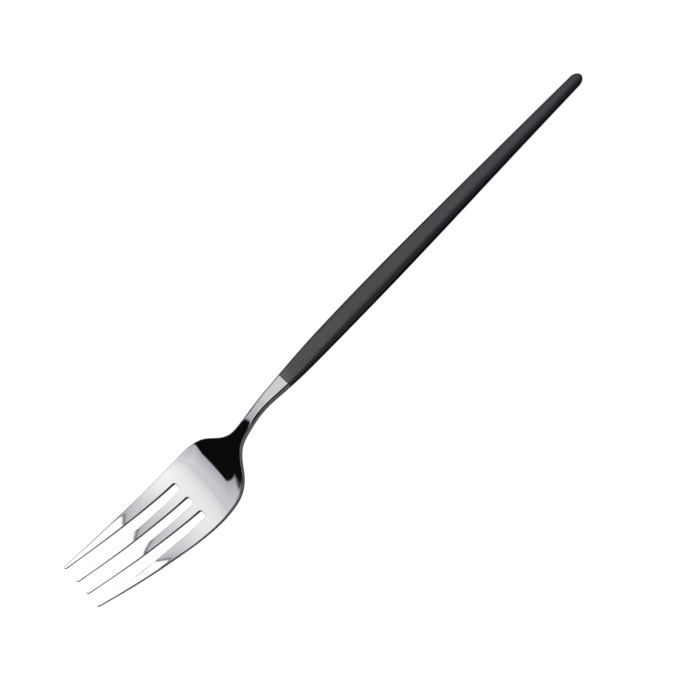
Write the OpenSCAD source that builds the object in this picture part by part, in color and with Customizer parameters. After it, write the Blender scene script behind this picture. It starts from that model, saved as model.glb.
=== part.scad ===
// Dinner fork: a polished steel head with four tines, a bowl and a neck that
// runs on as a flat tang, and a slender black handle moulded with a blind
// socket. A thin layer of adhesive holds the tang in the socket.
//
// Frame: the fork lies on a table with its tines pointing up. +X runs from
// the tines to the handle's end, +Z is up, z = 0 is the table, and x = 0 and
// y = 0 are the middle of the fork. In the tables below X is measured from
// the tine tips.

/* [Overall] */
// Length from the tine tips to the end of the handle
length = 215; // [205:1:225]
// How far the contact spots under bowl and handle end are flattened
rest_flat = 0.03; // [0.02:0.01:0.05]

/* [Head outline] */
// Widest place of the head, just ahead of the slot roots
head_w = 25.5; // [24:0.1:27]
// Width over the outer tines, at their tips
tips_w = 17.2; // [16.4:0.1:18]
// Narrowest place of the neck
neck_w = 3.7; // [3.2:0.1:4.2]
// Width of neck and handle where they meet
joint_w = 5.2; // [4.8:0.1:5.6]
// From the tine tips to the bottoms of the three slots
slot_root = 39.2; // [37:0.1:41]
// Width of the slots at their bottoms
slot_w = 3.0; // [2.8:0.1:3.5]
// Radius of the corners at the bottom of each slot
slot_r = 0.85; // [0.5:0.05:1.3]
// Width of each tine at its tip
tine_tip_w = 0.86; // [0.7:0.02:1.2]

/* [Side profile] */
// Height of the tine tips above the lowest part of the bowl
tip_rise = 17.1; // [15:0.1:19]
// Height of the crest of the neck
neck_rise = 10.1; // [9:0.1:12]
// How far the sides of the bowl stand above its middle
bowl_dish = 1.0; // [0.6:0.05:1.6]

/* [Thickness] */
// Thickness of the tines at their tips
tip_t = 0.84; // [0.7:0.02:1.1]
// Thickness of the bowl
bowl_t = 1.7; // [1.4:0.02:2.2]
// Thickness of the neck at its narrowest
neck_t = 2.3; // [2:0.05:2.8]
// Thickness of neck and handle where they meet
joint_t = 2.7; // [2.6:0.05:3.2]

/* [Handle] */
// Greatest width of the handle
handle_w = 7.0; // [6:0.1:8]
// Greatest thickness of the handle
handle_t = 4.0; // [3.6:0.1:4.6]
// Width of the handle just before its round end
end_w = 3.9; // [3.2:0.1:4.6]
// Thickness of the handle just before its round end
end_t = 3.4; // [3:0.1:4]
// Length of the round end
end_l = 2.9; // [2.2:0.1:3.4]

/* [Tang and socket] */
// Width of the tang
tang_w = 3.0; // [2.4:0.1:3.2]
// Thickness of the tang
tang_t = 1.3; // [1:0.1:1.4]
// Length of the tang inside the handle
tang_l = 100; // [60:1:105]
// Thickness of the adhesive on each side of the tang
glue_t = 0.12; // [0.08:0.01:0.15]
// Depth of the keying notches on each edge of the tang
notch_d = 0.4; // [0.2:0.05:0.6]

/* [Hidden] */

joint_x = 85.6;                 // where steel meets handle
slot_c = slot_root - slot_r;    // where the corners of the slots' bottoms begin
rest_x = 46;                    // lowest part of the bowl
foot_x = length - end_l;        // where the handle touches the table
nose = 0.55;                    // length over which a tine tip is rounded
dome = end_l/sin(84);           // the round end is part of an ellipse, cut flat at 84 degrees

// ---- smooth curves through stations (natural cubic splines) ----
function sweep(t, i = 1, q = [0, 0]) = i >= len(t) - 1 ? [] :
    let (h0 = t[i][0] - t[i-1][0], h1 = t[i+1][0] - t[i][0],
         r = 6*((t[i+1][1] - t[i][1])/h1 - (t[i][1] - t[i-1][1])/h0),
         m = 2*(h0 + h1) - h0*q[0],
         n = [h1/m, (r - h0*q[1])/m])
    concat([n], sweep(t, i + 1, n));
function back(s, i, next = 0) = i < 0 ? [] :
    let (v = s[i][1] - s[i][0]*next) concat(back(s, i - 1, v), [v]);
function bend(t) = let (s = sweep(t)) concat([0], back(s, len(s) - 1), [0]);
function seg(t, x, i = 0) = i >= len(t) - 2 || x < t[i+1][0] ? i : seg(t, x, i + 1);
function curve(t, m, x) =
    let (i = seg(t, x), h = t[i+1][0] - t[i][0], a = (t[i+1][0] - x)/h, b = 1 - a)
    a*t[i][1] + b*t[i+1][1] + ((a*a*a - a)*m[i] + (b*b*b - b)*m[i+1])*h*h/6;
function step(a, b, x) = let (u = min(1, max(0, (x - a)/(b - a)))) u*u*(3 - 2*u);

hl = length - joint_x;          // length of the handle

// Height of the middle of the thickness, along the fork
rise = [[0, tip_rise], [12, 0.643*tip_rise], [24, 0.345*tip_rise], [36, 0.12*tip_rise],
        [46, 0.9], [53, 2.34], [60, 0.555*neck_rise], [67, 0.82*neck_rise],
        [75, 1.035*neck_rise], [84, neck_rise], [96, 0.943*neck_rise],
        [joint_x + 0.266*hl, 0.819*neck_rise], [joint_x + 0.498*hl, 0.624*neck_rise],
        [joint_x + 0.768*hl, 0.386*neck_rise], [length, 1.6]];
// Half of the width over the outline, up to the round end of the handle
half = [[0, tips_w/2], [14, 0.83*head_w/2], [28, 0.94*head_w/2], [40, head_w/2],
        [46, 0.992*head_w/2], [50, 0.952*head_w/2], [53, 0.865*head_w/2],
        [56, 0.69*head_w/2], [59, 0.417*head_w/2], [62, 2.97], [65, 0.585*neck_w],
        [69, 0.52*neck_w], [75, 0.517*neck_w], [joint_x, joint_w/2],
        [joint_x + 0.11*hl, 0.94*handle_w/2], [joint_x + 0.25*hl, handle_w/2],
        [joint_x + 0.46*hl, 0.92*handle_w/2], [joint_x + 0.73*hl, 0.72*handle_w/2],
        [foot_x, end_w/2]];
// Half of the thickness
thick = [[0, tip_t/2], [10, 0.6*bowl_t/2], [25, 0.72*bowl_t/2], [34, 0.8*bowl_t/2],
         [42, bowl_t/2], [50, 1.05*bowl_t/2], [57, 1.22*bowl_t/2],
         [66, 0.96*neck_t/2], [75, neck_t/2], [joint_x, joint_t/2],
         [joint_x + 0.11*hl, 0.83*handle_t/2], [joint_x + 0.3*hl, 0.98*handle_t/2],
         [joint_x + 0.5*hl, handle_t/2], [joint_x + 0.74*hl, 0.95*handle_t/2],
         [foot_x, end_t/2]];
// How far the sides stand up, 12.5 mm from the middle
dish = [[0, 1.2*bowl_dish], [20, 0.6*bowl_dish], [40, 0.85*bowl_dish],
        [54, 1.2*bowl_dish], [70, 1.2*bowl_dish]];
// Squareness of the cross-section's corners: 2 is an ellipse
corner = [[0, 2.1], [15, 2.2], [30, 2.6], [44, 2.6], [54, 2.6], [60, 3.0], [66, 3.4],
          [72, 3.4], [78, 4.0], [joint_x, 4.5], [joint_x + 0.11*hl, 3.4],
          [joint_x + 0.34*hl, 3.0], [joint_x + 0.73*hl, 3.0], [length, 2.6]];
// Walls of the slots: half of the middle slot, then both sides of an outer one
gap_mid = [[0, 2.13], [13, 1.79], [26, 0.54*slot_w], [slot_c, slot_w/2]];
gap_in = [[0, 2.13 + tine_tip_w], [13, 3.68], [26, 4.24], [slot_c, 4.75]];
gap_out = [[0, tips_w/2 - tine_tip_w], [13, 7.82], [26, 7.75], [slot_c, 4.75 + slot_w]];

rise_m = bend(rise);
half_m = bend(half);
thick_m = bend(thick);
dish_m = bend(dish);
corner_m = bend(corner);

// Each blunt end is rounded along part of an ellipse: 1 away from the end
function round_tip(x) = x >= nose ? 1 : 0.35 + 0.65*sqrt(1 - pow(1 - max(x, 0)/nose, 2));
function round_end(x) = x <= foot_x ? 1 : sqrt(max(0, 1 - pow((x - foot_x)/dome, 2)));

function th(x) = curve(thick, thick_m, min(x, foot_x))*round_tip(x)*round_end(x);
function hw(x) = (curve(half, half_m, min(x, foot_x)) - (1 - round_tip(x))*tine_tip_w/2)*round_end(x);
function dz(x) = x < 70 ? curve(dish, dish_m, x)/156.25 : 1.2*bowl_dish/156.25;
function sq(x) = curve(corner, corner_m, x);
// Width of the rounded edge: narrow around the bowl, all of the section in neck and handle
function edge(x) = min(hw(x), x > 72 ? 99 :
    0.45 + 0.4*step(4, 16, x) - 0.4*step(24, 31, x) + 0.3*step(40, 47, x)
    - 0.15*step(48, 54, x) + (hw(x) - 0.6)*step(67, 72, x));

// The fork settles on the table: bowl and handle end touch it together
function low(a, b) = min([for (x = [a:0.25:b]) curve(rise, rise_m, x) - th(x)]);
low_bowl = low(40, 54);
low_foot = low(length - 9, length - 1.5);
function zc(x) = curve(rise, rise_m, x) - rest_flat
    - (low_bowl + (low_foot - low_bowl)*(x - rest_x)/(foot_x - rest_x));

// ---- cross-sections ----
// Columns across the fork: share of the flat part, share of the rounded edge
side = [[1, 1], [1, 0.98], [1, 0.9], [1, 0.74], [0.98, 0.5], [0.72, 0.37], [0.48, 0.25], [0.24, 0.12]];
cols = concat(side, [[0, 0]], [for (i = [len(side) - 1:-1:0]) -side[i]]);
M = len(cols) - 1;

// One point of the section at X; s is +1 for the upper face and -1 for the lower
function at(x, j, s) =
    let (h = hw(x), e = edge(x), p = sq(x),
         y = (h - e)*cols[j][0] + e*cols[j][1],
         a = max(0, abs(y) - (h - e))/e,
         w = a >= 1 - 1e-9 ? 0 : pow(1 - pow(a, p), 1/p))
    [x - length/2, y, zc(x) + dz(x)*y*y + s*th(x)*w];
function ring(x) = concat([for (j = [0:M]) at(x, j, 1)], [for (j = [M-1:-1:1]) at(x, j, -1)]);

// Closed skin over rings; the first and last rings are flat end faces
module skin(xs) {
    n = len(xs);
    k = 2*M;
    function under(j) = j == 0 ? 0 : j == M ? M : k - j;
    points = [for (x = xs) each ring(x)];
    walls = [for (i = [0:n-2], j = [0:k-1])
        let (a = i*k + j, b = i*k + (j + 1)%k, c = a + k, d = b + k)
        each [[a, d, b], [a, c, d]]];
    ends = [for (q = [0, 1], j = [0:M-1])
        let (o = q*(n - 1)*k, a = o + j, b = o + j + 1, c = o + under(j + 1), d = o + under(j),
             f = concat(d != a ? [[a, d, b]] : [], c != b ? [[b, d, c]] : []))
        each (q == 1 ? f : [for (t = f) [t[2], t[1], t[0]]])];
    polyhedron(points, concat(walls, ends), convexity = 6);
}

head_xs = concat([0, 0.12, 0.35], [for (i = [0:21]) nose + i*(40 - nose)/22],
                 [for (i = [0:23]) 40 + i*30/24], [for (i = [0:7]) 70 + i*(joint_x - 70)/7]);
handle_xs = concat([for (i = [0:9]) joint_x + i*2.4], [for (i = [1:20]) joint_x + 21.6 + i*(foot_x - joint_x - 21.6)/20],
                   [for (a = [18, 36, 54, 70, 84]) foot_x + dome*sin(a)]);

// Outline of one slot, from beyond the tips to its rounded bottom. The walls
// open at the tips so that each tine is rounded there
function flare(x) = (1 - round_tip(x))*tine_tip_w/2;
wall_xs = concat([-2, 0, 0.12, 0.35, nose], [for (i = [1:9]) nose + i*(slot_c - nose)/9]);
module slot(low_side, high_side) {
    nl = bend(low_side);
    nh = bend(high_side);
    c = (low_side[3][1] + high_side[3][1])/2;
    translate([-length/2, 0, -3]) linear_extrude(height = 30) polygon(concat(
        [for (x = wall_xs) [x, curve(high_side, nh, max(x, 0)) + flare(x)]],
        [for (s = [1, -1], i = [0:5]) let (a = s > 0 ? 75 - 15*i : -15*i)
            [slot_c + slot_r*cos(a), c + s*(slot_w/2 - slot_r) + slot_r*sin(a)]],
        [for (i = [len(wall_xs)-1:-1:0]) let (x = wall_xs[i])
            [x, curve(low_side, nl, max(x, 0)) - flare(x)]]));
}
function mirrored(t) = [for (q = t) [q[0], -q[1]]];

// Everything below the table
module below() translate([-length/2 - 5, -20, -5]) cube([length + 10, 40, 5]);

// ---- tang and socket ----
// The tang's line: level with the middle of the neck, sloping with the handle
tang_z = zc(joint_x);
tang_a = atan((tang_z - zc(joint_x + tang_l))/tang_l);
module along() translate([joint_x - length/2, 0, tang_z]) rotate([0, tang_a, 0]) children();
// A bar along the tang's line, from behind the joint to a given length
module bar(from, to, w, t) along() translate([from, -w/2, -t/2]) cube([to - from, w, t]);
// Only what lies beyond the joint
module beyond() translate([joint_x - length/2, -10, -5]) cube([100, 20, 30]);

module tang(from) difference() {
    bar(from, tang_l, tang_w, tang_t);
    for (x = [18, 48, 78], s = [-1, 1]) if (x < tang_l - 8)
        along() translate([x, s*(tang_w/2 - notch_d/2) - notch_d/2 - (s < 0 ? 0.5 : 0), -2])
            cube([4, notch_d + 0.5, 4]);
}
module socket(from) bar(from, tang_l + 1, tang_w + 2*glue_t, tang_t + 2*glue_t);

// ---- the three pieces ----
module fork_head() color([0.80, 0.80, 0.82]) union() {
    difference() {
        skin(head_xs);
        slot(mirrored(gap_mid), gap_mid);
        slot(gap_in, gap_out);
        slot(mirrored(gap_out), mirrored(gap_in));
        below();
    }
    tang(-3);
}
module handle() color([0.08, 0.08, 0.085]) difference() {
    skin(handle_xs);
    socket(-2);
    below();
}
module tang_adhesive() color([0.85, 0.80, 0.62]) difference() {
    intersection() {
        socket(-2);
        beyond();
    }
    tang(-3);
}

fork_head();
handle();
tang_adhesive();
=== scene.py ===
import math

import bmesh
import bpy
import numpy as np
from mathutils import Matrix, Vector


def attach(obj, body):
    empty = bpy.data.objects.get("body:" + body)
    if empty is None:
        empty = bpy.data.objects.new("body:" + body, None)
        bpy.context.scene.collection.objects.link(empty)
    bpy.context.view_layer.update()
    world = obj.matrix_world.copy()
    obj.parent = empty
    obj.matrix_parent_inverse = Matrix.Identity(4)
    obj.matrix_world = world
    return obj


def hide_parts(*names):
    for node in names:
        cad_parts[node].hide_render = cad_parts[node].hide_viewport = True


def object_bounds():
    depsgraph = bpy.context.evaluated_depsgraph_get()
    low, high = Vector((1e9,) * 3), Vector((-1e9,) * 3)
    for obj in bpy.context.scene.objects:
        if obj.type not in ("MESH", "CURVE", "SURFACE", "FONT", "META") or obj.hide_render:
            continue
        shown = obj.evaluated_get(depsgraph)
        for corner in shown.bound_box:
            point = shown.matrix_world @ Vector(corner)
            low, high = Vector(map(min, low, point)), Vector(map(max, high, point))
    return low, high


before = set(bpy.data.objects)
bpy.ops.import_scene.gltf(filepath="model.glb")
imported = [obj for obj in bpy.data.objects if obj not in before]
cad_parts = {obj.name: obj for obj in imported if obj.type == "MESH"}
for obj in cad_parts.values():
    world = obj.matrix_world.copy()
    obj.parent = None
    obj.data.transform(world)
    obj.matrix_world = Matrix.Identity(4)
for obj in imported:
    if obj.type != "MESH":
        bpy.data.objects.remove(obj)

CAD_BOX = [[float(c) for c in corner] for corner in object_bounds()]
scene = bpy.context.scene
scene.view_settings.view_transform = "Standard"
scene.view_settings.look = "None"

# ---------------------------------------------------------------- camera
# 24 degrees from straight down, 0.476 m from the middle of the fork
TILT, DISTANCE, AIM, ROLL = math.radians(24.0), 0.4761, (-0.00179, 0.00012), math.radians(-1.23)
ALONG = (0.69154521, -0.72233318)     # the fork's length in the picture, x to the right and y down
ACROSS = (0.72233318, 0.69154521)


def make_camera():
    data = bpy.data.cameras.new("camera")
    data.sensor_width = 36.0
    data.lens = 82.42
    data.clip_start, data.clip_end = 0.01, 50.0
    cam = bpy.data.objects.new("camera", data)
    scene.collection.objects.link(cam)
    forward = Vector((0, math.sin(TILT), -math.cos(TILT)))
    right0 = Vector((1, 0, 0))
    down0 = Vector((0, -math.cos(TILT), -math.sin(TILT)))
    c, s = math.cos(ROLL), math.sin(ROLL)
    x_axis = right0 * (ALONG[0] * c + ACROSS[0] * s) + down0 * (-ALONG[0] * s + ACROSS[0] * c)
    down = right0 * (ALONG[1] * c + ACROSS[1] * s) + down0 * (-ALONG[1] * s + ACROSS[1] * c)
    axes = Matrix((x_axis.normalized(), (-down).normalized(), -forward)).transposed()
    cam.matrix_world = Matrix.Translation(Vector((*AIM, 0)) - forward * DISTANCE) @ axes.to_4x4()
    scene.camera = cam


make_camera()

# ---------------------------------------------------------------- the fork's shape, in millimetres
# X runs from the tine tips; the same curves as the CAD model's
LEN, JX, END_L = 215.0, 85.6, 2.9
HL = LEN - JX
HEAD_W, TIPS_W, NECK_W, JOINT_W = 25.5, 17.2, 3.7, 5.2
ROOT, SLOT_W, SLOT_R, TIP_W = 39.2, 3.0, 0.85, 0.86
TIP_RISE, NECK_RISE, DISH = 17.1, 10.1, 1.0
TIP_T, BOWL_T, NECK_T, JOINT_T = 0.84, 1.7, 2.3, 2.7
HAND_W, HAND_T, END_W, END_T = 7.0, 4.0, 3.9, 3.4
TANG_W, TANG_T, TANG_L, GLUE, NOTCH = 3.0, 1.3, 100.0, 0.12, 0.4
FLAT, REST_X, FOOT, NOSE = 0.03, 46.0, LEN - END_L, 0.55
SC = ROOT - SLOT_R
R_SLOT = SLOT_W / 2
FLAT_SLOT = R_SLOT - SLOT_R


def natural(table):
    """Natural cubic spline through a table of (X, value)."""
    x = np.array([p[0] for p in table], float)
    y = np.array([p[1] for p in table], float)
    n, h = len(x), np.diff(x)
    a, b = np.eye(n), np.zeros(n)
    for i in range(1, n - 1):
        a[i, i - 1], a[i, i], a[i, i + 1] = h[i - 1], 2 * (h[i - 1] + h[i]), h[i]
        b[i] = 6 * ((y[i + 1] - y[i]) / h[i] - (y[i] - y[i - 1]) / h[i - 1])
    m = np.linalg.solve(a, b)

    def f(q):
        q = np.asarray(q, float)
        i = np.clip(np.searchsorted(x, q, side="right") - 1, 0, n - 2)
        hh = h[i]
        s = (x[i + 1] - q) / hh
        t = 1 - s
        return s * y[i] + t * y[i + 1] + ((s ** 3 - s) * m[i] + (t ** 3 - t) * m[i + 1]) * hh * hh / 6
    return f


def step(a, b, x):
    u = np.clip((np.asarray(x, float) - a) / (b - a), 0, 1)
    return u * u * (3 - 2 * u)


rise = natural([[0, TIP_RISE], [12, .643 * TIP_RISE], [24, .345 * TIP_RISE], [36, .12 * TIP_RISE],
                [46, .9], [53, 2.34], [60, .555 * NECK_RISE], [67, .82 * NECK_RISE],
                [75, 1.035 * NECK_RISE], [84, NECK_RISE], [96, .943 * NECK_RISE],
                [JX + .266 * HL, .819 * NECK_RISE], [JX + .498 * HL, .624 * NECK_RISE],
                [JX + .768 * HL, .386 * NECK_RISE], [LEN, 1.6]])
half = natural([[0, TIPS_W / 2], [14, .83 * HEAD_W / 2], [28, .94 * HEAD_W / 2], [40, HEAD_W / 2],
                [46, .992 * HEAD_W / 2], [50, .952 * HEAD_W / 2], [53, .865 * HEAD_W / 2],
                [56, .69 * HEAD_W / 2], [59, .417 * HEAD_W / 2], [62, 2.97], [65, .585 * NECK_W],
                [69, .52 * NECK_W], [75, .517 * NECK_W], [JX, JOINT_W / 2],
                [JX + .11 * HL, .94 * HAND_W / 2], [JX + .25 * HL, HAND_W / 2],
                [JX + .46 * HL, .92 * HAND_W / 2], [JX + .73 * HL, .72 * HAND_W / 2],
                [FOOT, END_W / 2]])
thick = natural([[0, TIP_T / 2], [10, .6 * BOWL_T / 2], [25, .72 * BOWL_T / 2], [34, .8 * BOWL_T / 2],
                 [42, BOWL_T / 2], [50, 1.05 * BOWL_T / 2], [57, 1.22 * BOWL_T / 2], [66, .96 * NECK_T / 2], [75, NECK_T / 2], [JX, JOINT_T / 2],
                 [JX + .11 * HL, .83 * HAND_T / 2], [JX + .3 * HL, .98 * HAND_T / 2],
                 [JX + .5 * HL, HAND_T / 2], [JX + .74 * HL, .95 * HAND_T / 2], [FOOT, END_T / 2]])
dish = natural([[0, 1.2 * DISH], [20, .6 * DISH], [40, .85 * DISH], [54, 1.2 * DISH], [70, 1.2 * DISH]])
corner = natural([[0, 2.1], [15, 2.2], [30, 2.6], [44, 2.6], [54, 2.6], [60, 3.0], [66, 3.4],
                  [72, 3.4], [78, 4.0], [JX, 4.5], [JX + .11 * HL, 3.4], [JX + .34 * HL, 3.0],
                  [JX + .73 * HL, 3.0], [LEN, 2.6]])
gap_mid = natural([[0, 2.13], [13, 1.79], [26, .54 * SLOT_W], [SC, R_SLOT]])
gap_in = natural([[0, 2.13 + TIP_W], [13, 3.68], [26, 4.24], [SC, 4.75]])
gap_out = natural([[0, TIPS_W / 2 - TIP_W], [13, 7.82], [26, 7.75], [SC, 4.75 + SLOT_W]])
SLOT_C = 4.75 + R_SLOT


def th(x):
    return thick(np.minimum(x, FOOT))


def hw(x):
    return half(np.minimum(x, FOOT))


def dz(x):
    return np.where(np.asarray(x) < 70, dish(np.minimum(x, 70)), 1.2 * DISH) / 156.25


def edge(x):
    """Width of the rounded edge along the outline."""
    h = hw(x)
    e = (0.45 + 0.4 * step(4, 16, x) - 0.4 * step(24, 31, x) + 0.3 * step(40, 47, x) - 0.15 * step(48, 54, x)
         + (h - 0.6) * step(67, 72, x))
    return np.where(np.asarray(x) > 72, h, np.minimum(h, e))


def lowest(a, b):
    x = np.arange(a, b + 1e-9, 0.25)
    return float(np.min(rise(x) - th(x)))


LOW_BOWL, LOW_FOOT = lowest(40, 54), lowest(LEN - 9, LEN - 1.5)


def zc(x):
    return rise(x) - FLAT - (LOW_BOWL + (LOW_FOOT - LOW_BOWL) * (x - REST_X) / (FOOT - REST_X))


def slot_radius(x):
    """Rounding of the edges along the slots."""
    return 0.07 + 0.11 * step(5, 29, x)


# Columns of a rounded edge: angles on the outline's section, and on a slot's
# straight wall (share of its height) followed by a quarter round (angles)
LEVELS = np.radians([0, 1, 3, 6, 10, 15, 21, 27, 33, 39, 45, 51, 57, 63, 69, 75, 81])
WALL = np.array([0, 0.25, 0.5, 0.75] + [np.nan] * 11)
ROUND = np.radians([0] * 4 + [0, 9, 18, 27, 36, 45, 54, 63, 72, 81, 90])


# ---------------------------------------------------------------- mesh builder
class Build:
    """Collects grids of points (in millimetres from the tips) into one welded mesh."""

    def __init__(self):
        self.points, self.faces, self.count = [], [], 0

    def grid(self, p, flip=False, close=False):
        """p has shape (rows, columns, 3)."""
        rows, cols = p.shape[:2]
        index = self.count + np.arange(rows * cols).reshape(rows, cols)
        self.points.append(p.reshape(-1, 3))
        self.count += rows * cols
        if close:
            index = np.concatenate([index, index[:, :1]], 1)
        a, b, c, d = index[:-1, :-1], index[1:, :-1], index[1:, 1:], index[:-1, 1:]
        quads = np.stack([a, b, c, d], -1).reshape(-1, 4)
        self.faces.extend((quads[:, ::-1] if flip else quads).tolist())
        return index

    def cap(self, ring):
        """One flat face over a ring of points already laid down."""
        self.faces.append([int(i) for i in ring])

    def object(self, name, weld=4e-7, sharp=38.0):
        co = np.concatenate(self.points)
        co = (co - np.array([LEN / 2, 0, 0])) * 0.001
        co[:, 2] = np.maximum(co[:, 2], 0)
        co[:, 1] = np.clip(co[:, 1], CAD_BOX[0][1], CAD_BOX[1][1])
        mesh = bpy.data.meshes.new(name)
        mesh.from_pydata(co.tolist(), [], self.faces)
        bm = bmesh.new()
        bm.from_mesh(mesh)
        bmesh.ops.remove_doubles(bm, verts=bm.verts, dist=weld)
        bmesh.ops.dissolve_degenerate(bm, dist=1e-8, edges=bm.edges)
        loose = [v for v in bm.verts if not v.link_faces]
        bmesh.ops.delete(bm, geom=loose, context="VERTS")
        bmesh.ops.recalc_face_normals(bm, faces=bm.faces)
        if bm.calc_volume(signed=True) < 0:
            bmesh.ops.reverse_faces(bm, faces=bm.faces)
        limit = math.radians(sharp)
        for f in bm.faces:
            f.smooth = True
        for e in bm.edges:
            if len(e.link_faces) == 2 and e.calc_face_angle(0) > limit:
                e.smooth = False
        open_edges = sum(1 for e in bm.edges if len(e.link_faces) != 2)
        print(name, "vertices", len(bm.verts), "faces", len(bm.faces), "open edges", open_edges,
              "volume mm3", round(bm.calc_volume() * 1e9, 1))
        bm.to_mesh(mesh)
        bm.free()
        obj = bpy.data.objects.new(name, mesh)
        scene.collection.objects.link(obj)
        return obj


# ---------------------------------------------------------------- steel head
def slot_depth(x, y):
    """Distance from a point on the head to the nearest slot wall."""
    x, y = np.asarray(x, float), np.abs(np.asarray(y, float))
    d = np.full(np.broadcast(x, y).shape, 9.0)
    before = x <= SC
    xs = np.minimum(x, SC)
    for lo, hi, c in ((-gap_mid(xs), gap_mid(xs), 0.0), (gap_in(xs), gap_out(xs), SLOT_C)):
        straight = np.where(y > (lo + hi) / 2, y - hi, lo - y)
        turned = np.hypot(x - SC, np.maximum(np.abs(y - c) - FLAT_SLOT, 0)) - SLOT_R
        d = np.minimum(d, np.where(before, straight, turned))
    return d


def head_points(x, y, sheet, squeeze=None, inset=0.0, wall=None):
    """Points of the upper (+1) or lower (-1) sheet of the head at X and y."""
    x, y = np.broadcast_arrays(np.asarray(x, float), np.asarray(y, float))
    h = hw(x) - inset
    e = np.maximum(np.minimum(edge(x), h), 0.05)
    e = np.where(x < SC, np.minimum(e, 0.5 * (h - gap_out(np.minimum(x, SC)))), e)
    p = corner(x)
    a = np.clip((np.abs(y) - (h - e)) / e, 0, 1)
    w = np.maximum(0, 1 - a ** p) ** (1 / p)
    r, full = slot_radius(x), th(x)
    depth = np.clip(slot_depth(x, y), 0, r)
    s = 1 - (r - np.sqrt(r * r - (r - depth) ** 2)) / full
    if wall is not None:
        s = np.where(np.isnan(wall), s, np.nan_to_num(wall) * (1 - r / full))
    w = w * s
    t = (full - inset) * w
    if squeeze is not None:
        t = t * squeeze
    z = zc(x) + dz(x) * y * y + sheet * t
    return np.stack([x, y, z], -1)


def fillet(x, level, radius, power):
    """Inward distances of the rounded edge's columns."""
    return radius * (1 - np.cos(level) ** (2 / power))


def tine_columns(x, inner_wall, outer_wall, outer):
    """y of every column of a tine on the +y side at X, from the wall nearer the middle outwards,
    and the share of a straight wall's height for the columns that lie on one."""
    n_in = 8
    lo, hi = inner_wall, outer_wall
    r = slot_radius(x)
    left = [lo + r * (1 - math.cos(a)) for a in ROUND]
    wall = list(WALL) + [np.nan] * (n_in - 1)
    if outer:
        r2 = np.minimum(np.minimum(edge(x), hw(x)), 0.5 * (hi - lo))
        right = [hi - fillet(x, a, r2, corner(x)) for a in LEVELS]
        wall += [np.nan] * len(LEVELS)
    else:
        right = [hi - r * (1 - math.cos(a)) for a in ROUND]
        wall += list(WALL[::-1])
    f = np.linspace(0, 1, n_in + 1)
    inner = [left[-1] + (right[-1] - left[-1]) * t for t in f[1:-1]]
    return np.stack(left + inner + right[::-1], -1), np.array(wall)


def tine_rows():
    nose = [NOSE * (1 - math.cos(math.radians(a))) for a in (0, 8, 17, 27, 38, 50, 62, 76)]
    rows = np.array(nose + list(np.linspace(NOSE, SC, 106)))
    return rows


# polishing leaves each tine a few degrees out of true halfway along: (outer tine, -y side)
TWIST = {(False, False): 0.072, (True, False): 0.052, (False, True): 0.120, (True, True): -0.100}


def add_tine(build, inner, outer, is_outer, mirror, sheet):
    x = tine_rows()
    lo, hi = inner(x), (hw(x) if is_outer else outer(x))
    squeeze = np.where(x < NOSE, np.sqrt(np.maximum(0, 1 - (1 - np.minimum(x, NOSE) / NOSE) ** 2)), 1.0)
    y, wall = tine_columns(x, lo, hi, is_outer)
    middle = ((lo + hi) / 2)[:, None]
    p = head_points(x[:, None], y, sheet, squeeze[:, None], wall=wall[None, :])
    # the blunt nose: the section closes in along an ellipse
    p[..., 1] = middle + (y - middle) * squeeze[:, None]
    turn = TWIST[is_outer, mirror] * (step(8, 16, x) * (1 - step(16, 29, x)))[:, None]
    p[..., 2] += turn * (p[..., 1] - middle) * (-1 if mirror else 1)
    if mirror:
        p[..., 1] *= -1
    build.grid(p, flip=(sheet > 0) != mirror)


def outer_last(x):
    """y of the innermost column of the outline's rounded edge."""
    h = hw(x)
    e = np.minimum(edge(x), h)
    return h - fillet(x, LEVELS[-1], e, corner(x))


X_JOIN = 43.7
N_JOIN = 17
X_ROWS = np.concatenate([np.linspace(X_JOIN, 70, 92), np.linspace(70, JX - 0.06, 44)[1:]])
END_INSET = [(JX - 0.06 + 0.06 * math.sin(math.radians(a)), 0.06 * (1 - math.cos(math.radians(a))))
             for a in (22.5, 45, 67.5, 90)]


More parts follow.
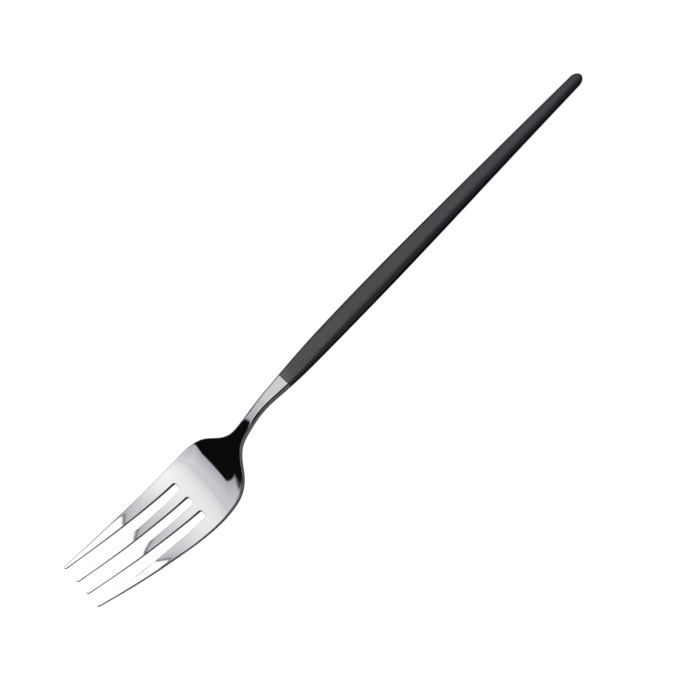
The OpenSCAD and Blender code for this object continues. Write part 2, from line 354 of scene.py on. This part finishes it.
def add_head(build):
    tines = [(gap_mid, gap_in, False), (gap_out, None, True)]
    for sheet in (1, -1):
        for inner, outer, is_outer in tines:
            for mirror in (False, True):
                add_tine(build, inner, outer, is_outer, mirror, sheet)
        # rounded edge round each slot's bottom
        theta = np.radians(list(np.linspace(-90, 0, 14)) + [0, 0, 0] + list(np.linspace(0, 90, 14)))
        shift = FLAT_SLOT * np.array([-1.0] * 14 + [-0.5, 0, 0.5] + [1.0] * 14)
        n_slot = len(theta) - 1
        r_root = float(slot_radius(SC))
        levels = SLOT_R + r_root * (1 - np.cos(ROUND))
        for c in (-SLOT_C, 0.0, SLOT_C):
            x = SC + levels[None, :] * np.cos(theta)[:, None]
            y = c + shift[:, None] + levels[None, :] * np.sin(theta)[:, None]
            build.grid(head_points(x, y, sheet, wall=WALL[None, :]), flip=sheet < 0)
        # flat columns: fractions of the outline's inner width, slot bands and tine bands in turn
        last = levels[-1] + FLAT_SLOT
        y_in = float(outer_last(SC))

        def fractions(lo, hi, n):
            return np.linspace(lo, hi, n + 1) / y_in

        a_lo, a_hi = gap_mid(SC) + last - R_SLOT, gap_in(SC) - (last - R_SLOT)
        b_lo, b_hi = gap_out(SC) + last - R_SLOT, y_in
        s = np.linspace(0, 1, N_JOIN)
        x_tine = SC + s * (X_JOIN - SC)
        for lo, hi in ((a_lo, a_hi), (b_lo, b_hi), (-a_hi, -a_lo), (-b_hi, -b_lo)):
            f = fractions(lo, hi, 8)
            x = np.repeat(x_tine[:, None], len(f), 1)
            build.grid(head_points(x, f[None, :] * outer_last(x), sheet), flip=sheet < 0)
        for c in (-SLOT_C, 0.0, SLOT_C):
            xs = SC + levels[-1] * np.cos(theta)
            ys = c + shift + levels[-1] * np.sin(theta)
            f0 = ys / outer_last(xs)
            f1 = np.linspace((c - last) / y_in, (c + last) / y_in, len(theta))
            x = xs[None, :] + (X_JOIN - xs)[None, :] * s[:, None]
            f = f0[None, :] + (f1 - f0)[None, :] * s[:, None]
            build.grid(head_points(x, f * outer_last(x), sheet), flip=sheet < 0)
        # rounded outline beside the slots' bottoms
        for side in (1, -1):
            y = side * (hw(x_tine)[:, None] - np.stack(
                [fillet(x_tine, a, np.minimum(edge(x_tine), hw(x_tine)), corner(x_tine)) for a in LEVELS], -1))
            build.grid(head_points(x_tine[:, None], y, sheet), flip=(sheet > 0) == (side > 0))
    # from the bowl to the joint: closed rings of columns
    bands = [(-b_hi, -b_lo, 8), (-SLOT_C - last, -SLOT_C + last, n_slot), (-a_hi, -a_lo, 8), (-last, last, n_slot),
             (a_lo, a_hi, 8), (SLOT_C - last, SLOT_C + last, n_slot), (b_lo, b_hi, 8)]
    flat = np.concatenate([np.linspace(lo, hi, n + 1)[(0 if i == 0 else 1):] for i, (lo, hi, n) in enumerate(bands)]) / y_in

    def section(x, sheet, inset=0.0):
        h = float(hw(x)) - inset
        e = min(float(edge(x)), h)
        p = float(corner(x))
        out = h - fillet(x, LEVELS, e, p)
        y = np.concatenate([-out, flat[1:-1] * out[-1], out[::-1]])
        return head_points(np.full(len(y), float(x)), y, sheet, inset=inset)

    rows = [(x, 0.0) for x in X_ROWS] + END_INSET
    top = np.array([section(x, 1, i) for x, i in rows])
    bottom = np.array([section(x, -1, i) for x, i in rows])
    ring = np.concatenate([top, bottom[:, -2:0:-1]], 1)
    build.grid(ring, close=True)
    # the end face, and the flat tang that runs on inside the handle
    n_top = top.shape[1]
    n_fillet = len(LEVELS)
    z0 = float(zc(JX))
    angle = math.atan((z0 - float(zc(JX + TANG_L))) / TANG_L)
    up = np.concatenate([np.linspace(0, 1, n_fillet), np.ones(n_top - 2 * n_fillet), np.linspace(1, 0, n_fillet)])
    across = np.concatenate([-np.ones(n_fillet), np.linspace(-1, 1, n_top - 2 * n_fillet + 2)[1:-1], np.ones(n_fillet)])
    up = np.concatenate([up, -up[-2:0:-1]])
    across = np.concatenate([across, across[-2:0:-1]])

    def tang_ring(s, width):
        y, z = across * width / 2, up * TANG_T / 2
        if s == 0:
            return np.stack([np.full(len(y), JX), y, z0 + z / math.cos(angle)], -1)
        return np.stack([JX + s * math.cos(angle) + z * math.sin(angle), y,
                         z0 - s * math.sin(angle) + z * math.cos(angle)], -1)

    narrow = TANG_W - 2 * NOTCH
    stations = [(0, TANG_W)]
    for n in (18, 48, 78):
        stations += [(n - 9, TANG_W), (n, TANG_W), (n, narrow), (n + 4, narrow), (n + 4, TANG_W)]
    stations += [(TANG_L, TANG_W)]
    tang = np.array([tang_ring(s, w) for s, w in stations])
    build.grid(np.array([ring[-1], tang[0]]), close=True)
    index = build.grid(tang, close=True)
    build.cap(index[-1, :-1])


# ---------------------------------------------------------------- handle
def add_handle(build):
    n = 128
    phi = np.arange(n) * 2 * math.pi / n
    ca, sa = np.cos(phi), np.sin(phi)

    def section(x, inset=0.0, squeeze=1.0):
        p = float(corner(x))
        y = (float(hw(x)) * squeeze - inset) * np.sign(ca) * np.abs(ca) ** (2 / p)
        z = float(zc(x)) + float(dz(x)) * y * y + (float(th(x)) * squeeze - inset) * np.sign(sa) * np.abs(sa) ** (2 / p)
        return np.stack([np.full(n, float(x)), y, z], -1)

    front = [section(JX + 0.07 * (1 - math.sin(math.radians(a))), 0.07 * (1 - math.cos(math.radians(a))))
             for a in (90, 67.5, 45, 22.5, 0)]
    body = [section(x) for x in np.linspace(JX + 0.07, FOOT, 255)[1:]]
    dome = [section(FOOT + END_L * math.sin(math.radians(a)), squeeze=math.cos(math.radians(a)))
            for a in (6, 12, 19, 26, 33, 40, 47, 54, 61, 68, 74, 79, 83, 86, 88)]
    pole = np.repeat(np.array([[[LEN, 0.0, float(zc(LEN))]]]), n, 1)
    skin = np.concatenate([np.array(front + body + dome), pole])
    build.grid(skin, close=True)
    # front face and the blind socket
    z0 = float(zc(JX))
    angle = math.atan((z0 - float(zc(JX + TANG_L))) / TANG_L)
    big = np.maximum(np.abs(ca), np.abs(sa))

    def socket_ring(s):
        y, z = ca / big * (TANG_W / 2 + GLUE), sa / big * (TANG_T / 2 + GLUE)
        if s == 0:
            return np.stack([np.full(n, JX), y, z0 + z / math.cos(angle)], -1)
        return np.stack([JX + s * math.cos(angle) + z * math.sin(angle), y,
                         z0 - s * math.sin(angle) + z * math.cos(angle)], -1)

    rings = np.array([socket_ring(s) for s in (0, 20, 40, 60, 80, TANG_L + 1)])
    build.grid(np.array([skin[0], rings[0]]), flip=True, close=True)
    index = build.grid(rings, flip=True, close=True)
    build.cap(index[-1, :-1])


# ---------------------------------------------------------------- materials
def new_material(name):
    m = bpy.data.materials.new(name)
    m.use_nodes = True
    nt = m.node_tree
    return m, nt, nt.nodes["Principled BSDF"]


def math_node(nt, op, a, b=None, clamp=False):
    n = nt.nodes.new("ShaderNodeMath")
    n.operation, n.use_clamp = op, clamp
    for i, v in enumerate((a, b)):
        if v is None:
            continue
        if isinstance(v, (int, float)):
            n.inputs[i].default_value = v
        else:
            nt.links.new(v, n.inputs[i])
    return n.outputs[0]


def map_range(nt, value, a, b, c, d):
    n = nt.nodes.new("ShaderNodeMapRange")
    nt.links.new(value, n.inputs["Value"])
    for k, v in (("From Min", a), ("From Max", b), ("To Min", c), ("To Max", d)):
        n.inputs[k].default_value = v
    return n.outputs["Result"]


def noise(nt, coords, scale, stretch=(1, 1, 1), detail=3.0, rough=0.5):
    m = nt.nodes.new("ShaderNodeMapping")
    m.inputs["Scale"].default_value = stretch
    nt.links.new(coords, m.inputs["Vector"])
    n = nt.nodes.new("ShaderNodeTexNoise")
    n.inputs["Scale"].default_value = scale
    n.inputs["Detail"].default_value = detail
    n.inputs["Roughness"].default_value = rough
    nt.links.new(m.outputs["Vector"], n.inputs["Vector"])
    return n.outputs["Fac"]


def steel_material():
    m, nt, bsdf = new_material("polished_steel")
    co = nt.nodes.new("ShaderNodeTexCoord").outputs["Object"]
    bsdf.inputs["Metallic"].default_value = 1.0
    # cloudy polish: slow change of roughness, with fine hairlines along the fork
    cloud = noise(nt, co, 90.0, (0.5, 1, 1), 3)
    hair = noise(nt, co, 60.0, (1.0, 60, 60), 2, 0.6)
    mixed = math_node(nt, "ADD", math_node(nt, "MULTIPLY", cloud, 0.6), math_node(nt, "MULTIPLY", hair, 0.4))
    nt.links.new(map_range(nt, mixed, 0.3, 0.7, 0.022, 0.05), bsdf.inputs["Roughness"])
    tint = nt.nodes.new("ShaderNodeMix")
    tint.data_type = "RGBA"
    tint.inputs["A"].default_value = (0.775, 0.78, 0.80, 1)
    tint.inputs["B"].default_value = (0.825, 0.83, 0.845, 1)
    nt.links.new(cloud, tint.inputs["Factor"])
    # painted shade: the neck's base colour is darker than the bowl's, warmer then bluer along it, standing in for the
    # dimmer reflections there
    sep = nt.nodes.new("ShaderNodeSeparateXYZ")
    nt.links.new(co, sep.inputs[0])
    # painted shade: mixes the darker neck colour over the bowl's tone towards the handle
    painted_neck_shade = nt.nodes.new("ShaderNodeMix")
    painted_neck_shade.data_type = "RGBA"
    neck = nt.nodes.new("ShaderNodeMix")
    neck.data_type = "RGBA"
    neck.inputs["A"].default_value = (0.628, 0.608, 0.582, 1)
    neck.inputs["B"].default_value = (0.598, 0.600, 0.610, 1)
    nt.links.new(map_range(nt, sep.outputs[0], -0.034, -0.028, 0.0, 1.0), neck.inputs["Factor"])
    nt.links.new(neck.outputs["Result"], painted_neck_shade.inputs["B"])
    nt.links.new(map_range(nt, sep.outputs[0], -0.036, -0.027, 0.0, 1.0), painted_neck_shade.inputs["Factor"])
    nt.links.new(tint.outputs["Result"], painted_neck_shade.inputs["A"])
    nt.links.new(painted_neck_shade.outputs["Result"], bsdf.inputs["Base Color"])
    bump = nt.nodes.new("ShaderNodeBump")
    bump.inputs["Strength"].default_value = 0.05
    bump.inputs["Distance"].default_value = 0.000004
    nt.links.new(hair, bump.inputs["Height"])
    nt.links.new(bump.outputs["Normal"], bsdf.inputs["Normal"])
    return m


def handle_material():
    m, nt, bsdf = new_material("black_resin")
    co = nt.nodes.new("ShaderNodeTexCoord").outputs["Object"]
    grain = noise(nt, co, 5200.0, (1, 1, 1), 2)
    cloud = noise(nt, co, 120.0, (0.4, 1, 1), 4)
    mix = nt.nodes.new("ShaderNodeMix")
    mix.data_type = "RGBA"
    mix.inputs["A"].default_value = (0.0148, 0.0162, 0.0345, 1)
    mix.inputs["B"].default_value = (0.0202, 0.0220, 0.0430, 1)
    nt.links.new(cloud, mix.inputs["Factor"])
    # painted sheen: the base colour is greyer at the front end, most next to the steel and fading along the handle,
    # standing in for the brighter sheen there
    sep = nt.nodes.new("ShaderNodeSeparateXYZ")
    nt.links.new(co, sep.inputs[0])
    front = nt.nodes.new("ShaderNodeMix")
    front.data_type = "RGBA"
    front.inputs["B"].default_value = (0.075, 0.075, 0.080, 1)
    # painted sheen mask, strongest next to the steel; the same mask also lowers the roughness there
    close = map_range(nt, sep.outputs[0], -0.0215, -0.0178, 1.0, 0.0)
    nt.links.new(math_node(nt, "MAXIMUM", close, map_range(nt, sep.outputs[0], -0.0215, 0.03, 0.3, 0.0)), front.inputs["Factor"])
    nt.links.new(mix.outputs["Result"], front.inputs["A"])
    nt.links.new(front.outputs["Result"], bsdf.inputs["Base Color"])
    rough = math_node(nt, "ADD", math_node(nt, "MULTIPLY", cloud, 0.7), math_node(nt, "MULTIPLY", grain, 0.3))
    rough = map_range(nt, rough, 0.3, 0.7, 0.44, 0.54)
    rough = math_node(nt, "ADD", rough, map_range(nt, sep.outputs[0], -0.0215, 0.1075, -0.08, 0.12))
    rough = math_node(nt, "SUBTRACT", rough, math_node(nt, "MULTIPLY", close, 0.1))
    nt.links.new(rough, bsdf.inputs["Roughness"])
    bsdf.inputs["IOR"].default_value = 1.85
    bsdf.inputs["Coat Weight"].default_value = 0.55
    bsdf.inputs["Coat Roughness"].default_value = 0.5
    bump = nt.nodes.new("ShaderNodeBump")
    bump.inputs["Strength"].default_value = 0.12
    bump.inputs["Distance"].default_value = 0.00002
    nt.links.new(grain, bump.inputs["Height"])
    nt.links.new(bump.outputs["Normal"], bsdf.inputs["Normal"])
    return m


def epoxy_material():
    m, nt, bsdf = new_material("clear_epoxy")
    co = nt.nodes.new("ShaderNodeTexCoord").outputs["Object"]
    cloud = noise(nt, co, 700.0, (0.5, 1, 1), 4)
    mix = nt.nodes.new("ShaderNodeMix")
    mix.data_type = "RGBA"
    mix.inputs["A"].default_value = (0.55, 0.42, 0.20, 1)
    mix.inputs["B"].default_value = (0.72, 0.62, 0.38, 1)
    nt.links.new(cloud, mix.inputs["Factor"])
    nt.links.new(mix.outputs["Result"], bsdf.inputs["Base Color"])
    nt.links.new(map_range(nt, cloud, 0.3, 0.7, 0.15, 0.35), bsdf.inputs["Roughness"])
    bsdf.inputs["Subsurface Weight"].default_value = 0.2
    bsdf.inputs["Subsurface Scale"].default_value = 0.0004
    bump = nt.nodes.new("ShaderNodeBump")
    bump.inputs["Strength"].default_value = 0.3
    bump.inputs["Distance"].default_value = 0.00003
    nt.links.new(cloud, bump.inputs["Height"])
    nt.links.new(bump.outputs["Normal"], bsdf.inputs["Normal"])
    return m


head = Build()
add_head(head)
steel = head.object("fork_head_steel")
steel.data.materials.append(steel_material())
grip_build = Build()
add_handle(grip_build)
grip = grip_build.object("handle_resin")
grip.data.materials.append(handle_material())
for piece, node, slot_name in ((steel, "fork_head", "polished_steel"), (grip, "handle", "black_handle")):
    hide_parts(node)
    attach(piece, "root")
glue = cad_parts["tang_adhesive"]
glue.data.materials.clear()
glue.data.materials.append(epoxy_material())

# ---------------------------------------------------------------- stage
# Radiance of the soft light around the fork by direction: along the fork from
# the tine side (-90) to the handle side (+90), and across it from the near
# side (-90) to the far side (+90), in degrees from straight up
ALONG_STOPS = [(-90, 0.0), (-42.2, 0.0), (-40.7, 0.46), (-32, 0.56), (-24, 0.64), (-17, 0.68), (-14.6, 0.66),
               (-14, 0.61), (-13.2, 0.68), (-9, 0.77), (-3, 0.86), (6, 0.94), (15, 0.92), (23, 0.80),
               (29, 0.64), (31, 0.52), (90, 0.52)]
ACROSS_STOPS = [(-90, 0.02), (3, 0.02), (7.5, 1.08), (11, 1.12), (17, 1.03), (26, 1.0), (48, 1.0), (51.5, 0.12),
                (60, 0.03), (90, 0.02)]
# and of the dimmer light low down on both sides
SIDE_STOPS = [(-90, 0.30), (-62, 0.34), (-50, 0.0), (62, 0.0), (71, 0.45), (90, 0.45)]


def ramp(nt, value, stops):
    n = nt.nodes.new("ShaderNodeFloatCurve")
    curve = n.mapping.curves[0]
    n.mapping.clip_min_x, n.mapping.clip_max_x = 0.0, 1.0
    n.mapping.clip_min_y, n.mapping.clip_max_y = 0.0, 4.0
    n.mapping.use_clip = False
    pts = [((a + 90) / 180, v) for a, v in stops]
    while len(curve.points) < len(pts):
        curve.points.new(0.5, 0.5)
    for c, (a, v) in zip(curve.points, pts):
        c.location = (a, v)
        c.handle_type = "VECTOR"
    n.mapping.update()
    nt.links.new(value, n.inputs["Value"])
    return n.outputs["Value"]


def make_world():
    world = bpy.data.worlds.new("studio")
    scene.world = world
    world.use_nodes = True
    nt = world.node_tree
    nt.nodes.clear()
    out = nt.nodes.new("ShaderNodeOutputWorld")
    co = nt.nodes.new("ShaderNodeTexCoord")
    sep = nt.nodes.new("ShaderNodeSeparateXYZ")
    nt.links.new(co.outputs["Generated"], sep.inputs[0])
    x, y, z = sep.outputs
    values = []
    along, across = [math_node(nt, "MULTIPLY", math_node(nt, "ARCTAN2", axis, z), 180 / math.pi) for axis in (x, y)]
    # the light's two ends slant: the tine-side one runs out towards the far and near
    # corners, the other one leans a little
    far = math_node(nt, "MULTIPLY", math_node(nt, "MAXIMUM", math_node(nt, "SUBTRACT", across, 38.5), 0.0), 1.5)
    far = math_node(nt, "MINIMUM", far, 18.0)
    near = math_node(nt, "MULTIPLY", math_node(nt, "SUBTRACT", 19.0, across), 0.2, clamp=True)
    shift = math_node(nt, "ADD", far, math_node(nt, "MULTIPLY", near, 4.0))
    rim = math_node(nt, "MULTIPLY", math_node(nt, "SUBTRACT", 13.0, across), 0.2, clamp=True)
    shift = math_node(nt, "SUBTRACT", shift, math_node(nt, "MULTIPLY", rim, 24.0))
    shift = math_node(nt, "MULTIPLY", shift, math_node(nt, "MULTIPLY", along, -1 / 40, clamp=True))
    lean = math_node(nt, "MULTIPLY", math_node(nt, "SUBTRACT", across, 20.0), -0.08)
    lean = math_node(nt, "MULTIPLY", lean, math_node(nt, "MULTIPLY", along, 1 / 30, clamp=True))
    shift = math_node(nt, "ADD", shift, lean)
    for angle, stops in ((math_node(nt, "ADD", along, shift), ALONG_STOPS), (across, ACROSS_STOPS),
                         (across, SIDE_STOPS)):
        unit = math_node(nt, "ADD", math_node(nt, "DIVIDE", angle, 180.0), 0.5, clamp=True)
        values.append(ramp(nt, unit, stops))
    # on the handle side the light ends in a thin dim line and a bright strip
    angle = math_node(nt, "ADD", along, shift)
    strip = map_range(nt, angle, 32.0, 32.35, 0.0, 1.0)
    first = math_node(nt, "MULTIPLY", values[0], map_range(nt, angle, 31.05, 31.6, 1.0, 0.4))
    first = math_node(nt, "MULTIPLY", first, math_node(nt, "SUBTRACT", 1.0, strip))
    first = math_node(nt, "ADD", first, math_node(nt, "MULTIPLY", map_range(nt, angle, 50.0, 90.0, 1.14, 0.1), strip))
    light = math_node(nt, "MULTIPLY", first, values[1])
    light = math_node(nt, "MULTIPLY", light, LIGHT)
    sides = math_node(nt, "MULTIPLY", map_range(nt, along, 20, 45, 1.0, 0.4), map_range(nt, along, -60, -42, 0.0, 1.0))
    light = math_node(nt, "ADD", light, math_node(nt, "MULTIPLY", values[2], sides))
    # pale walls low down all around
    walls = math_node(nt, "MULTIPLY", math_node(nt, "SUBTRACT", 0.30, z), 8.0, clamp=True)
    light = math_node(nt, "ADD", light, math_node(nt, "MULTIPLY", walls, 0.2))
    light = math_node(nt, "ADD", light, 0.004)
    path = nt.nodes.new("ShaderNodeLightPath").outputs["Is Camera Ray"]
    soft = nt.nodes.new("ShaderNodeBackground")
    nt.links.new(light, soft.inputs["Strength"])
    hue = nt.nodes.new("ShaderNodeMix")
    hue.data_type = "RGBA"
    hue.inputs["A"].default_value = (0.975, 0.975, 1.04, 1)
    hue.inputs["B"].default_value = (1.0, 0.995, 0.985, 1)
    nt.links.new(map_range(nt, light, 0.48, 0.96, 0.0, 1.0), hue.inputs["Factor"])
    nt.links.new(hue.outputs["Result"], soft.inputs["Color"])
    plain = nt.nodes.new("ShaderNodeBackground")
    plain.inputs["Strength"].default_value = 1.3
    mix = nt.nodes.new("ShaderNodeMixShader")
    nt.links.new(path, mix.inputs[0])
    nt.links.new(soft.outputs[0], mix.inputs[1])
    nt.links.new(plain.outputs[0], mix.inputs[2])
    nt.links.new(mix.outputs[0], out.inputs["Surface"])


LIGHT = 1.08


def make_floor():
    mesh = bpy.data.meshes.new("floor")
    s, z = 3.0, -0.00002
    mesh.from_pydata([(-s, -s, z), (s, -s, z), (s, s, z), (-s, s, z)], [], [(0, 1, 2, 3)])
    floor = bpy.data.objects.new("floor", mesh)
    scene.collection.objects.link(floor)
    m, nt, bsdf = new_material("pale_floor")
    bsdf.inputs["Base Color"].default_value = (0.8, 0.8, 0.8, 1)
    bsdf.inputs["Roughness"].default_value = 0.9
    bsdf.inputs["Specular IOR Level"].default_value = 0.0
    # painted light and shade on what the polished steel mirrors of the floor: a painted pool of light in a strip along
    # the head and neck, painted shade further out
    co = nt.nodes.new("ShaderNodeTexCoord").outputs["Object"]
    sep = nt.nodes.new("ShaderNodeSeparateXYZ")
    nt.links.new(co, sep.inputs[0])
    ahead = math_node(nt, "MAXIMUM", math_node(nt, "SUBTRACT", -0.082, sep.outputs[0]), 0.0)
    ahead = math_node(nt, "MINIMUM", math_node(nt, "MULTIPLY", ahead, 0.5), 0.0035)
    painted_floor_light = math_node(nt, "ADD", math_node(nt, "ABSOLUTE", sep.outputs[1]), ahead)
    painted_floor_light = map_range(nt, painted_floor_light, 0.0165, 0.0185, 1.0, 0.06)
    # painted shade under the tines, darker towards their roots, lighter again from the neck on
    pale = math_node(nt, "ADD", map_range(nt, sep.outputs[0], -0.1, -0.082, 0.95, 0.25),
                     map_range(nt, sep.outputs[0], -0.056, -0.046, 0.0, 0.35))
    painted_floor_light = math_node(nt, "MULTIPLY", painted_floor_light, pale)
    # painted shade under the handle and beyond the tine tips
    painted_floor_light = math_node(nt, "MULTIPLY", painted_floor_light, map_range(nt, sep.outputs[0], -0.024, -0.018, 1.0, 0.08))
    painted_floor_light = math_node(nt, "MULTIPLY", painted_floor_light, map_range(nt, sep.outputs[0], -0.111, -0.107, 0.05, 1.0))
    shade = nt.nodes.new("ShaderNodeCombineColor")
    for i in range(3):
        nt.links.new(painted_floor_light, shade.inputs[i])
    mirrored = nt.nodes.new("ShaderNodeBsdfDiffuse")
    nt.links.new(shade.outputs[0], mirrored.inputs["Color"])
    glow = nt.nodes.new("ShaderNodeEmission")
    glow.inputs["Strength"].default_value = 0.96
    add = nt.nodes.new("ShaderNodeAddShader")
    nt.links.new(bsdf.outputs[0], add.inputs[0])
    nt.links.new(glow.outputs[0], add.inputs[1])
    mix = nt.nodes.new("ShaderNodeMixShader")
    nt.links.new(nt.nodes.new("ShaderNodeLightPath").outputs["Is Camera Ray"], mix.inputs[0])
    nt.links.new(mirrored.outputs[0], mix.inputs[1])
    nt.links.new(add.outputs[0], mix.inputs[2])
    nt.links.new(mix.outputs[0], nt.nodes["Material Output"].inputs["Surface"])
    mesh.materials.append(m)


make_world()
make_floor()
